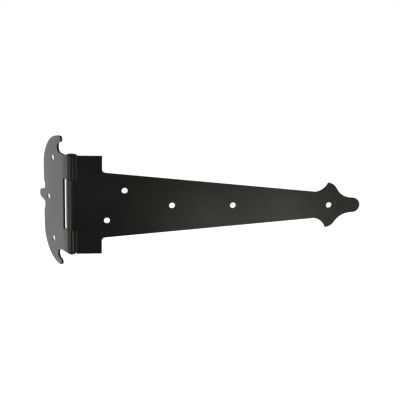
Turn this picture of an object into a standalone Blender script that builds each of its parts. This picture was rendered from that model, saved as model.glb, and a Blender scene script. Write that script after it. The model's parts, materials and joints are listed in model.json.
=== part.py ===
"""T hinge: a tapered strap leaf and a crescent frame leaf that turn on one steel pin.

The pin stands along Z. The strap runs along +X and its flush face looks toward -Y. That
face lies against the gate, and the eyes are rolled behind it, so the screws come from +Y.
The frame leaf is folded back from the strap's plane. The origin is on its flush face,
where it lies against the post. Lengths are in millimetres up to the end of each mesh.
"""
from math import atan, cos, radians, sin

import bmesh
import bpy
from mathutils import Vector

MM = 0.001

# Steel sheet and the eye rolled from it.
SHEET = 2.0
EYE_RADIUS = 4.75
ROLL_ANGLE = radians(302.0)
EYE_STRIPS = 48

# Each leaf bends gently into its eyes from a bend line, so its flush face stands a
# little proud of them.
SETBACK = 0.45
FLUSH = EYE_RADIUS + SETBACK
STRAP_BEND_LINE = 3.9
FRAME_BEND_LINE = 8.0
BEND_STRIPS = 8

# How far the frame leaf is folded back from flat, and how far out along it the origin is.
FOLD = radians(61.0)
ORIGIN_REACH = 18.0

# Knuckles, as half heights about the middle of the pin.
CENTRE_KNUCKLE = 21.8
KNUCKLE_GAP = 0.4
OUTER_KNUCKLE_START = CENTRE_KNUCKLE + KNUCKLE_GAP
OUTER_KNUCKLE_END = 42.75

# Strap leaf: head, taper and the neck of its finial.
NOTCH_X = 3.9
HEAD_X = 25.4
HEAD_HALF = 42.85
STEP_RADIUS = 3.0
TAPER_X = 30.0
TAPER_HALF = 28.2
TAPER_SLOPE = 0.0890
NECK_X = 212.5

# Finial: a hollow neck, a leaf-shaped blade, a hollow and a round nose.
BARB = (223.4, 20.5)
NECK_RADIUS = 14.0
BLADE_CENTRE = (222.7, 10.4)
BLADE_RADIUS = 10.1
HOLLOW_CENTRE = (247.0, 24.7)
NOSE_RADIUS = 6.6
STRAP_LENGTH = 254.0

# Frame leaf: slot, eye root, hook, crescent and bud, measured along the leaf from the pin.
SLOT_EDGE = 5.6
EYE_ROOT = 2.0
FLOOR_START = 3.5
FLOOR_HALF = 42.35
HOOK_CENTRE = (11.5, 47.1)
HOOK_RADIUS = 4.5
HOOK_TIP_CENTRE = (12.1, 54.3)
HOOK_TIP_RADIUS = 2.7
LOBE_CENTRE = (12.4, 27.4)
LOBE_RADIUS = 29.6
SHOULDER_HALF = 13.9
WAIST = 40.2
WAIST_TOP = 10.5
WAIST_FOOT = 7.2
CROOK_RADIUS = 1.6
BUD_CENTRE = 46.3
BUD_RADIUS = 4.1
BUD_FLARE = radians(15.0)

# Screw holes for No. 10 screws, countersunk on the side of the eyes: a light countersink
# in the strap and a deep one in the frame leaf. The land is the straight part of a hole.
HOLE_RADIUS = 2.45
STRAP_LAND = 1.3
FRAME_LAND = 0.4
HOLE_SIDES = 32
STRAP_HOLES = ((44.2, 13.1), (29.5, -13.1), (84.9, 0.0), (138.2, 0.0), (225.3, 0.0))
FRAME_HOLES = ((24.6, 36.2), (33.2, 0.0), (24.6, -36.2))

# Pin, headed over at each end, with the taller head below.
PIN_RADIUS = 2.67
PIN_SIDES = 48
PIN_HEAD_RADIUS = 3.2
PIN_HEAD_GAP = 0.3
TOP_HEAD_EDGE = 0.15
TOP_HEAD_DOME = 0.3
FOOT_HEAD_EDGE = 1.0
FOOT_HEAD_DOME = 0.6

# Rounding of the outlines: one point every few degrees.
ARC_STEP = radians(6.0)


def clear_scene():
    for item in list(bpy.data.objects):
        bpy.data.objects.remove(item, do_unlink=True)


def arc(centre, radius, start, end):
    """Points on an arc between two angles in radians, with both of its ends."""
    steps = max(2, round(abs(end - start) / ARC_STEP))
    points = []
    for index in range(steps + 1):
        angle = start + (end - start) * index / steps
        points.append((centre[0] + radius * cos(angle), centre[1] + radius * sin(angle)))
    return points


def arc_through(start, end, radius, left):
    """Short arc from start to end, with its centre to the left or right of the way."""
    a = Vector(start)
    b = Vector(end)
    chord = b - a
    normal = Vector((-chord.y, chord.x)).normalized()
    if not left:
        normal = -normal
    height = (radius ** 2 - chord.length_squared / 4) ** 0.5
    centre = (a + b) / 2 + normal * height
    turn = (a - centre).angle_signed(b - centre)
    first = Vector((1, 0)).angle_signed(a - centre)
    return arc(centre, radius, -first, -first - turn)


def s_curve(start, end):
    """Two equal arcs that leave start and reach end along the second axis."""
    across = start[0] - end[0]
    along = start[1] - end[1]
    half_turn = atan(across / along)
    radius = along / (2 * sin(2 * half_turn))
    first = arc((start[0] - radius, start[1]), radius, 0.0, -2 * half_turn)
    second_centre = (end[0] + radius, end[1])
    second = arc(second_centre, radius, radians(180.0) - 2 * half_turn, radians(180.0))
    return first + second[1:]


def taper_half(x):
    return TAPER_HALF - TAPER_SLOPE * (x - TAPER_X)


def strap_edge():
    """Upper edge of the strap leaf, from its knuckle out to its nose."""
    slope = atan(TAPER_SLOPE)
    step_x = HEAD_X + STEP_RADIUS
    step_centre = (step_x, taper_half(step_x) + STEP_RADIUS / cos(slope))
    neck = (NECK_X, taper_half(NECK_X))
    reach = Vector(HOLLOW_CENTRE) - Vector(BLADE_CENTRE)
    bearing = atan(reach.y / reach.x)
    hollow_radius = HOLLOW_CENTRE[1] - NOSE_RADIUS
    barb_side = Vector(BARB) - Vector(BLADE_CENTRE)
    barb_bearing = radians(90.0) - atan(barb_side.x / barb_side.y)
    edge = [(NOTCH_X, CENTRE_KNUCKLE), (NOTCH_X, HEAD_HALF), (HEAD_X, HEAD_HALF)]
    edge += arc(step_centre, STEP_RADIUS, radians(180.0), radians(270.0) - slope)
    edge += arc_through(neck, BARB, NECK_RADIUS, left=True)
    edge += arc(BLADE_CENTRE, BLADE_RADIUS, barb_bearing, bearing)[1:]
    edge += arc(HOLLOW_CENTRE, hollow_radius, bearing + radians(180.0), radians(270.0))[1:]
    edge += arc((STRAP_LENGTH - NOSE_RADIUS, 0.0), NOSE_RADIUS, radians(90.0), 0.0)
    return edge


def frame_edge():
    """Upper edge of the frame leaf, from its slot round the hook to its bud."""
    edge = [(SLOT_EDGE, OUTER_KNUCKLE_START), (EYE_ROOT, OUTER_KNUCKLE_START)]
    edge += [(EYE_ROOT, OUTER_KNUCKLE_END), (FLOOR_START, FLOOR_HALF)]
    edge += arc(HOOK_CENTRE, HOOK_RADIUS, radians(-90.0), radians(84.0))
    edge += arc(HOOK_TIP_CENTRE, HOOK_TIP_RADIUS, radians(270.0), radians(90.0))
    edge += arc(LOBE_CENTRE, LOBE_RADIUS, radians(90.0), 0.0)[1:]
    side = LOBE_CENTRE[0] + LOBE_RADIUS
    edge += s_curve((side, SHOULDER_HALF), (WAIST, WAIST_TOP))
    crook = (WAIST + CROOK_RADIUS, WAIST_FOOT)
    edge += arc(crook, CROOK_RADIUS, radians(180.0), radians(270.0) - BUD_FLARE)
    edge += arc((BUD_CENTRE, 0.0), BUD_RADIUS, radians(90.0) - BUD_FLARE, 0.0)
    return edge


def both_halves(edge):
    """Close an upper edge with its mirror image below."""
    lower = []
    for x, z in reversed(edge):
        if abs(z) > 1e-6:
            lower.append((x, -z))
    return edge + lower


def bend_angle(bend_line):
    """How far the gentle bend turns before the tight roll of the eye begins."""
    return 2 * atan(SETBACK / bend_line)


def bend_radius(bend_line):
    return EYE_RADIUS + bend_line / sin(bend_angle(bend_line))


def rolled(x, depth, bend_line):
    """Where a point of the flat blank goes when the leaf has been bent and rolled."""
    if x >= bend_line:
        return x, depth - FLUSH
    gentle = bend_radius(bend_line)
    turn = bend_angle(bend_line)
    back = bend_line - x
    if back <= gentle * turn:
        angle = back / gentle
        radius = gentle - depth
        return bend_line - radius * sin(angle), gentle - FLUSH - radius * cos(angle)
    angle = turn + (back - gentle * turn) / EYE_RADIUS
    radius = EYE_RADIUS - depth
    return -radius * sin(angle), -radius * cos(angle)


def bend_cuts(bend_line):
    """Lines across the blank where the strips of the bend and the eye meet."""
    gentle = bend_radius(bend_line) * bend_angle(bend_line)
    tight = EYE_RADIUS * (ROLL_ANGLE - bend_angle(bend_line))
    cuts = []
    for index in range(BEND_STRIPS + 1):
        cuts.append(bend_line - gentle * index / BEND_STRIPS)
    for index in range(1, EYE_STRIPS + 1):
        cuts.append(bend_line - gentle - tight * index / EYE_STRIPS)
    return cuts


def add_loop(bm, points):
    """Closed ring of edges through the points, and its corners."""
    corners = []
    for x, z in points:
        corners.append(bm.verts.new((x, 0.0, z)))
    edges = []
    for index, corner in enumerate(corners):
        edges.append(bm.edges.new((corner, corners[index - 1])))
    return corners, edges


def ring_points(centre, radius):
    """Points round one screw hole, at one radius."""
    points = []
    for index in range(HOLE_SIDES):
        angle = radians(360.0) * index / HOLE_SIDES
        points.append((centre[0] + radius * cos(angle), centre[1] + radius * sin(angle)))
    return points


def add_hole(bm, centre, sink_radius):
    """Ring of faces round one hole, as wide as its countersink; gives its outer edges."""
    inner = add_loop(bm, ring_points(centre, HOLE_RADIUS))[0]
    outer, edges = add_loop(bm, ring_points(centre, sink_radius))
    for index in range(HOLE_SIDES):
        bm.faces.new((inner[index - 1], inner[index], outer[index], outer[index - 1]))
    return edges


def on_hole_edge(vert, holes):
    """True for a corner of the blank that lies on the edge of a hole."""
    for x, z in holes:
        reach = Vector((vert.co.x - x, vert.co.z - z)).length
        if reach < HOLE_RADIUS + 1e-3:
            return True
    return False


def corner_at(corners, x, z):
    """Corner of the outline at one place."""
    for corner in corners:
        if (corner.co - Vector((x, 0.0, z))).length < 1e-6:
            return corner
    raise ValueError("no corner at the root of the eye")


def add_knuckle(bm, corners, root, low, high, cuts):
    """Row of strips that run back from the blank and become one eye."""
    below = corner_at(corners, root, low)
    above = corner_at(corners, root, high)
    for cut in cuts:
        if cut > root - 1e-6:
            continue
        next_below = bm.verts.new((cut, 0.0, low))
        next_above = bm.verts.new((cut, 0.0, high))
        bm.faces.new((below, above, next_above, next_below))
        below = next_below
        above = next_above


def make_leaf(name, outline, holes, land, knuckles, root, bend_line, side):
    """Flat blank with its holes, made thick, then bent and rolled into its eyes."""
    bm = bmesh.new()
    corners, edges = add_loop(bm, outline)
    for centre in holes:
        edges += add_hole(bm, centre, HOLE_RADIUS + SHEET - land)
    bmesh.ops.triangle_fill(bm, edges=edges, use_beauty=True)
    cuts = bend_cuts(bend_line)
    for low, high in knuckles:
        add_knuckle(bm, corners, root, low, high, cuts)
    for cut in cuts:
        if cut > root + 1e-6:
            sheet = bm.verts[:] + bm.edges[:] + bm.faces[:]
            bmesh.ops.bisect_plane(bm, geom=sheet, plane_co=(cut, 0, 0), plane_no=(1, 0, 0))
    thick = bmesh.ops.extrude_face_region(bm, geom=bm.faces[:])
    for item in thick["geom"]:
        if isinstance(item, bmesh.types.BMVert):
            item.co.y = land if on_hole_edge(item, holes) else SHEET
    for vert in bm.verts:
        x, y = rolled(vert.co.x, vert.co.y, bend_line)
        vert.co = Vector((side * x, y, vert.co.z)) * MM
    bmesh.ops.recalc_face_normals(bm, faces=bm.faces[:])
    return to_object(bm, name)


def pin_end(edge, dome):
    """Profile of one head, from the shaft out and over to the axis."""
    base = OUTER_KNUCKLE_END + PIN_HEAD_GAP
    profile = [(PIN_RADIUS, base), (PIN_HEAD_RADIUS, base), (PIN_HEAD_RADIUS, base + edge)]
    for angle in (30.0, 60.0, 90.0):
        rise = dome * sin(radians(angle))
        profile.append((PIN_HEAD_RADIUS * cos(radians(angle)), base + edge + rise))
    profile[-1] = (0.0, base + edge + dome)
    return profile


def make_pin(name):
    """Turned pin: a plain shaft with a domed head past each outer knuckle."""
    upper = pin_end(TOP_HEAD_EDGE, TOP_HEAD_DOME)
    lower = [(radius, -z) for radius, z in reversed(pin_end(FOOT_HEAD_EDGE, FOOT_HEAD_DOME))]
    bm = bmesh.new()
    corners = [bm.verts.new((radius * MM, 0.0, z * MM)) for radius, z in lower + upper]
    profile = []
    for first, second in zip(corners, corners[1:]):
        profile.append(bm.edges.new((first, second)))
    bmesh.ops.spin(
        bm, geom=corners + profile, cent=(0, 0, 0), axis=(0, 0, 1),
        angle=radians(360.0), steps=PIN_SIDES, use_merge=True,
    )
    bmesh.ops.remove_doubles(bm, verts=bm.verts[:], dist=1e-6)
    bmesh.ops.recalc_face_normals(bm, faces=bm.faces[:])
    return to_object(bm, name)


def to_object(bm, name):
    """Object with smooth round faces and crisp corners."""
    mesh = bpy.data.meshes.new(name)
    bm.to_mesh(mesh)
    bm.free()
    mesh.shade_smooth()
    mesh.set_sharp_from_angle(angle=radians(30.0))
    obj = bpy.data.objects.new(name, mesh)
    bpy.context.collection.objects.link(obj)
    return obj


def paint(obj, name, colour, roughness, metallic):
    """Give the object a surface of its own."""
    material = bpy.data.materials.new(name)
    material.use_nodes = True
    shader = material.node_tree.nodes["Principled BSDF"]
    shader.inputs["Base Color"].default_value = (*colour, 1.0)
    shader.inputs["Roughness"].default_value = roughness
    shader.inputs["Metallic"].default_value = metallic
    material.diffuse_color = (*colour, 1.0)
    obj.data.materials.append(material)


def pin_place():
    """The pin's place, seen from the origin on the frame leaf's flush face."""
    along = Vector((-cos(FOLD), sin(FOLD), 0.0))
    flush = Vector((-sin(FOLD), -cos(FOLD), 0.0))
    return -(along * ORIGIN_REACH + flush * FLUSH) * MM


clear_scene()

# The pin's axis carries all three pieces.
pin_axis = bpy.data.objects.new("pin_axis", None)
pin_axis.location = pin_place()
bpy.context.collection.objects.link(pin_axis)

# Strap leaf: one knuckle in the middle of its head.
strap_leaf = make_leaf(
    "strap_leaf", both_halves(strap_edge()), STRAP_HOLES, STRAP_LAND,
    [(-CENTRE_KNUCKLE, CENTRE_KNUCKLE)], root=NOTCH_X, bend_line=STRAP_BEND_LINE, side=1,
)
strap_leaf.parent = pin_axis
paint(strap_leaf, "strap_paint", (0.017, 0.017, 0.018), 0.36, 0.0)

# Frame leaf: a knuckle above and one below, folded back about the pin.
frame_leaf = make_leaf(
    "frame_leaf", both_halves(frame_edge()), FRAME_HOLES, FRAME_LAND,
    [
        (OUTER_KNUCKLE_START, OUTER_KNUCKLE_END),
        (-OUTER_KNUCKLE_END, -OUTER_KNUCKLE_START),
    ],
    root=EYE_ROOT, bend_line=FRAME_BEND_LINE, side=-1,
)
frame_leaf.parent = pin_axis
frame_leaf.rotation_euler.z = -FOLD
paint(frame_leaf, "frame_paint", (0.017, 0.017, 0.018), 0.36, 0.0)

# Pin: headed over at both ends.
hinge_pin = make_pin("hinge_pin")
hinge_pin.parent = pin_axis
paint(hinge_pin, "pin_steel", (0.030, 0.030, 0.031), 0.42, 0.0)
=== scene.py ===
import json
from math import cos, pi, radians, sin

import bpy
from mathutils import Matrix, Vector


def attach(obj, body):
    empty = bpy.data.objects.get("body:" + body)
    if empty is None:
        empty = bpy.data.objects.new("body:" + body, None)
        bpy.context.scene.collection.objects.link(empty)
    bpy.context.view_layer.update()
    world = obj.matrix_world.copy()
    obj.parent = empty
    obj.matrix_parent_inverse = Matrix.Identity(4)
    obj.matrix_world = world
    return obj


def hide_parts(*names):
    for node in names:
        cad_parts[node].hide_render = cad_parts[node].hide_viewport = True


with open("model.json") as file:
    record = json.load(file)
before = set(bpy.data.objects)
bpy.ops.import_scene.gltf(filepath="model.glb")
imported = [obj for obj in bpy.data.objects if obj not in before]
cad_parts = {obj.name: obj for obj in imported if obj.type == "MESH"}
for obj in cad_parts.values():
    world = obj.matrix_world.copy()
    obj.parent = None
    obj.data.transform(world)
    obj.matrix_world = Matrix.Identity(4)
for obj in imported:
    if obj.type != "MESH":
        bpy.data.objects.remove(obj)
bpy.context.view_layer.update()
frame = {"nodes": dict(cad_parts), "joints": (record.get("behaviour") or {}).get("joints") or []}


# ---- Strap leaf -------------------------------------------------------------
# The long leaf that is screwed along the gate. It is stamped from 2 mm mild steel, its
# screw holes are countersunk from the side of the eye, and its middle is rolled into
# one eye. The stamped edges are tumbled a little round before the black powder coat.
EDGE_ROUND = 0.00015
EDGE_ANGLE = radians(50.0)
EDGE_STEPS = 2
SMOOTH_ANGLE = radians(40.0)
FLATS_WEIGHT = 80
MERGE_GAP = 0.00001
FLAT_ANGLE = radians(0.5)


def only(piece):
    """Select one piece, and nothing else."""
    bpy.ops.object.select_all(action="DESELECT")
    piece.select_set(True)
    bpy.context.view_layer.objects.active = piece


def apply_all(piece):
    """Make a piece's modifiers part of its mesh."""
    only(piece)
    for modifier in list(piece.modifiers):
        bpy.ops.object.modifier_apply(modifier=modifier.name)


def leaf_blank(node, name):
    """Copy a rolled leaf or the pin off its solid, and join its loose triangles into flats."""
    leaf = bpy.data.objects.new(name, frame["nodes"][node].data.copy())
    bpy.context.collection.objects.link(leaf)
    leaf.data.materials.clear()
    only(leaf)
    bpy.ops.object.mode_set(mode="EDIT")
    bpy.ops.mesh.select_all(action="SELECT")
    bpy.ops.mesh.remove_doubles(threshold=MERGE_GAP)
    bpy.ops.mesh.dissolve_limited(angle_limit=FLAT_ANGLE)
    bpy.ops.object.mode_set(mode="OBJECT")
    return leaf


def round_edges(piece, width):
    """Tumble the sharp edges round, and keep the flats flat in the light."""
    only(piece)
    bevel = piece.modifiers.new("edges", "BEVEL")
    bevel.limit_method = "ANGLE"
    bevel.angle_limit = EDGE_ANGLE
    bevel.width = width
    bevel.segments = EDGE_STEPS
    bevel.use_clamp_overlap = True
    bevel.material = 1
    apply_all(piece)
    bpy.ops.object.shade_smooth_by_angle(angle=SMOOTH_ANGLE)
    weighted = piece.modifiers.new("flats", "WEIGHTED_NORMAL")
    weighted.keep_sharp = True
    weighted.weight = FLATS_WEIGHT
    apply_all(piece)


def add_node(tree, kind, place, **values):
    """Put one node in the tree, with the given numbers in its sockets."""
    node = tree.nodes.new(kind)
    node.location = place
    for socket, value in values.items():
        node.inputs[socket.replace("_", " ")].default_value = value
    return node


GRAIN_SHIFT = (1.0, 0.7, 1.3)
NOISE_LOW = 0.3
NOISE_HIGH = 0.7


def grain(tree, place, scale, detail, offset):
    """Noise through the metal, in metres, moved so that no two finishes share a spot."""
    coordinates = add_node(tree, "ShaderNodeTexCoord", (place[0] - 400, place[1]))
    mapping = add_node(tree, "ShaderNodeMapping", (place[0] - 200, place[1]))
    mapping.inputs["Location"].default_value = [offset * share for share in GRAIN_SHIFT]
    noise = add_node(tree, "ShaderNodeTexNoise", place, Scale=scale, Detail=detail)
    tree.links.new(coordinates.outputs["Object"], mapping.inputs["Vector"])
    tree.links.new(mapping.outputs["Vector"], noise.inputs["Vector"])
    return noise.outputs["Fac"]


def spread(tree, place, fac, low, high):
    """Turn a noise of about 0.3 to 0.7 into a range of plain numbers."""
    node = add_node(tree, "ShaderNodeMapRange", place, To_Min=low, To_Max=high)
    node.inputs["From Min"].default_value = NOISE_LOW
    node.inputs["From Max"].default_value = NOISE_HIGH
    tree.links.new(fac, node.inputs["Value"])
    return node.outputs["Result"]


def blend_colours(tree, place, fac, first, second):
    """Go from the first colour to the second as a number goes from 0 to 1."""
    node = add_node(tree, "ShaderNodeMix", place)
    node.data_type = "RGBA"
    node.inputs["A"].default_value = first
    node.inputs["B"].default_value = second
    tree.links.new(fac, node.inputs["Factor"])
    return node.outputs["Result"]


COAT_IOR = 1.5
PATCH_SCALE = 38.0
PATCH_DETAIL = 3.0
SPECK_SCALE = 1400.0
PEEL_SCALE = 620.0
FINE_DETAIL = 2.0
PATCH_GLOSS = 0.03
SPECK_GLOSS = 0.015
PEEL_STRENGTH = 0.35
PEEL_DEPTH = 0.00006


def powder_coat(name, dark, light, roughness, offset):
    """Black semi-gloss powder coat: a fine orange peel, and a gloss that varies slowly."""
    coat = bpy.data.materials.new(name)
    coat.use_nodes = True
    tree = coat.node_tree
    shader = tree.nodes["Principled BSDF"]
    shader.inputs["IOR"].default_value = COAT_IOR
    patch = grain(tree, (-600, 300), PATCH_SCALE, PATCH_DETAIL, offset)
    speck = grain(tree, (-600, 0), SPECK_SCALE, FINE_DETAIL, offset + 1.0)
    peel = grain(tree, (-600, -300), PEEL_SCALE, FINE_DETAIL, offset + 2.0)
    shade = spread(tree, (-400, 300), patch, 0.0, 1.0)
    colour = blend_colours(tree, (-200, 300), shade, dark, light)
    tree.links.new(colour, shader.inputs["Base Color"])
    gloss = spread(tree, (-400, 0), patch, roughness - PATCH_GLOSS, roughness + PATCH_GLOSS)
    fleck = spread(tree, (-400, 100), speck, -SPECK_GLOSS, SPECK_GLOSS)
    total = add_node(tree, "ShaderNodeMath", (-200, 0))
    total.operation = "ADD"
    tree.links.new(gloss, total.inputs[0])
    tree.links.new(fleck, total.inputs[1])
    tree.links.new(total.outputs[0], shader.inputs["Roughness"])
    bump = add_node(
        tree, "ShaderNodeBump", (-200, -300), Strength=PEEL_STRENGTH, Distance=PEEL_DEPTH
    )
    tree.links.new(peel, bump.inputs["Height"])
    tree.links.new(bump.outputs["Normal"], shader.inputs["Normal"])
    return coat


def dress(piece, flat, edge):
    """The first coat goes on the faces, and the second on the rounded edges."""
    piece.data.materials.append(flat)
    piece.data.materials.append(edge)


BLACK = (0.0115, 0.0116, 0.0100, 1.0)
SOFT_BLACK = (0.0140, 0.0141, 0.0122, 1.0)
RUBBED_BLACK = (0.024, 0.024, 0.023, 1.0)
COAT_ROUGHNESS = 0.23
RUBBED_SMOOTHER = 0.06

face_coat = powder_coat("powder_coat", BLACK, SOFT_BLACK, COAT_ROUGHNESS, 0.0)
edge_coat = powder_coat(
    "powder_coat_on_edges", SOFT_BLACK, RUBBED_BLACK, COAT_ROUGHNESS - RUBBED_SMOOTHER, 5.0
)

strap = leaf_blank("strap_leaf", "strap")
dress(strap, face_coat, edge_coat)
round_edges(strap, EDGE_ROUND)
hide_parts("strap_leaf")
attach(strap, "strap_side")


# ---- Frame leaf -------------------------------------------------------------
# The crescent leaf that is screwed to the post. It is stamped from the same sheet as the
# strap, with a slot for the strap's eye, and its two outer eyes are rolled round the pin.
crescent = leaf_blank("frame_leaf", "crescent")
dress(crescent, face_coat, edge_coat)
round_edges(crescent, EDGE_ROUND)
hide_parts("frame_leaf")
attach(crescent, "frame_side")


# ---- Hinge pin --------------------------------------------------------------
# A plain drawn steel rod, put through the three eyes and headed over with a hammer at
# both ends, then coated with the leaves. It rubs as it turns, so its coat is thinner.
PIN_EDGE_ROUND = 0.0001
PIN_ROUGHNESS = 0.30
RUBBED_STEEL = (0.05, 0.05, 0.048, 1.0)
pin_coat = powder_coat("pin_coat", RUBBED_BLACK, RUBBED_STEEL, PIN_ROUGHNESS, 9.0)
pin = leaf_blank("hinge_pin", "pin")
dress(pin, pin_coat, pin_coat)
round_edges(pin, PIN_EDGE_ROUND)
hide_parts("hinge_pin")
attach(pin, "frame_side")


# ---- Camera -----------------------------------------------------------------
# It stands a little to the left of square to the strap and looks slightly down on it.
# Bearings are in degrees round the pin and up: 0 and 0 is square out from the strap's face.
PIN_PLACE = Vector(frame["joints"][0]["pos_m"])
AIM_FROM_PIN = Vector((0.109857, 0.0, 0.003517))
CAMERA_AZIMUTH = -9.311
CAMERA_ELEVATION = 15.236
CAMERA_ROLL = radians(2.371)
CAMERA_REACH = 0.60914
SENSOR_WIDTH = 36.0
LENS = 63.0
NEAREST_SEEN = 0.01
FARTHEST_SEEN = 50.0


def bearing(azimuth, elevation):
    """The direction at a bearing round the pin, as an arrow of length 1."""
    a = radians(azimuth)
    e = radians(elevation)
    return Vector((sin(a) * cos(e), -cos(a) * cos(e), sin(e)))


back = bearing(CAMERA_AZIMUTH, CAMERA_ELEVATION)
right = (-back).cross(Vector((0, 0, 1))).normalized()
above = right.cross(-back)
side_axis = right * cos(CAMERA_ROLL) + above * sin(CAMERA_ROLL)
top_axis = above * cos(CAMERA_ROLL) - right * sin(CAMERA_ROLL)
camera_data = bpy.data.cameras.new("camera")
camera_data.sensor_width = SENSOR_WIDTH
camera_data.lens = LENS
camera_data.clip_start = NEAREST_SEEN
camera_data.clip_end = FARTHEST_SEEN
camera = bpy.data.objects.new("camera", camera_data)
camera.rotation_mode = "QUATERNION"
camera.rotation_quaternion = Matrix((side_axis, top_axis, back)).transposed().to_quaternion()
camera.location = PIN_PLACE + AIM_FROM_PIN + back * CAMERA_REACH
bpy.context.collection.objects.link(camera)
bpy.context.scene.camera = camera
bpy.context.scene.view_settings.view_transform = "Standard"


# ---- Floor ------------------------------------------------------------------
# A wide sheet of white card that glows softly and runs back from under the hinge. It
# stops short in front, so that the strap's face mirrors the dark room and not the card.
FLOOR_TOP = -0.30
FLOOR_FRONT = 0.1
FLOOR_SPAN = 24.0
FLOOR_SQUARES = 24
FLOOR_GLOW = 1.0
CARD_WHITE = (0.9, 0.9, 0.9, 1.0)
CARD_ROUGHNESS = 0.9
bpy.ops.object.select_all(action="DESELECT")
bpy.ops.mesh.primitive_grid_add(
    x_subdivisions=FLOOR_SQUARES,
    y_subdivisions=FLOOR_SQUARES,
    size=FLOOR_SPAN,
    location=(0.0, FLOOR_FRONT + FLOOR_SPAN / 2, FLOOR_TOP),
)
bpy.ops.object.transform_apply(location=True, rotation=False, scale=False)
floor = bpy.context.active_object
floor.name = "floor"
card = bpy.data.materials.new("white_card")
card.use_nodes = True
card_shader = card.node_tree.nodes["Principled BSDF"]
card_shader.inputs["Base Color"].default_value = CARD_WHITE
card_shader.inputs["Roughness"].default_value = CARD_ROUGHNESS
card_shader.inputs["Emission Color"].default_value = (1.0, 1.0, 1.0, 1.0)
card_shader.inputs["Emission Strength"].default_value = FLOOR_GLOW
floor.data.materials.append(card)


# ---- Room and lights --------------------------------------------------------
# Seen directly the room is white all round, but what it sends onto the hinge is dim. Eight
# panels do the rest: three on the left, from behind the hinge to in front of it, four in
# front of the strap, and a wide one above.
ROOM_LIGHT = 0.02
ROOM_SEEN = 1.0
room = bpy.data.worlds.new("room")
room.use_nodes = True
room_tree = room.node_tree
room_background = room_tree.nodes["Background"]
light_path = room_tree.nodes.new("ShaderNodeLightPath")
room_level = room_tree.nodes.new("ShaderNodeMapRange")
room_level.inputs["To Min"].default_value = ROOM_LIGHT
room_level.inputs["To Max"].default_value = ROOM_SEEN
room_tree.links.new(light_path.outputs["Is Camera Ray"], room_level.inputs["Value"])
room_tree.links.new(room_level.outputs["Result"], room_background.inputs["Strength"])
room_background.inputs["Color"].default_value = (1.0, 1.0, 1.0, 1.0)
bpy.context.scene.world = room

WHITE = (1.0, 1.0, 1.0)
CREAM = (1.0, 1.02, 0.84)


def panel(name, place, reach, size, radiance, colour):
    """A soft panel at a bearing from the pin and a reach in metres, turned to face the pin.

    The size is its width and height in metres, and the radiance is how bright it looks.
    """
    width, height = size
    direction = bearing(*place)
    light = bpy.data.lights.new(name, "AREA")
    light.shape = "RECTANGLE"
    light.size = width
    light.size_y = height
    light.energy = radiance * width * height * pi
    light.color = colour
    lamp = bpy.data.objects.new(name, light)
    lamp.rotation_mode = "QUATERNION"
    lamp.rotation_quaternion = direction.to_track_quat("Z", "Y")
    lamp.location = PIN_PLACE + direction * reach
    lamp.visible_camera = False
    bpy.context.collection.objects.link(lamp)


panel("left_panel", (-146.0, -14.0), 1.2, (0.75, 1.4), 1.04, WHITE)
panel("side_panel", (-85.0, -14.0), 1.2, (0.7, 0.9), 0.86, WHITE)
panel("near_side_panel", (-40.0, -20.0), 1.2, (0.6, 0.7), 1.3, WHITE)
panel("strap_panel", (14.0, -18.0), 1.6, (0.18, 0.14), 2.8, CREAM)
panel("finial_panel", (23.0, -20.0), 1.6, (0.18, 0.4), 2.6, CREAM)
panel("right_panel", (38.0, -14.0), 1.6, (0.5, 0.9), 0.5, CREAM)
panel("head_panel", (-6.0, -2.0), 1.6, (0.16, 0.16), 3.0, CREAM)
panel("top_panel", (0.0, 60.0), 1.6, (1.2, 1.2), 5.6, WHITE)
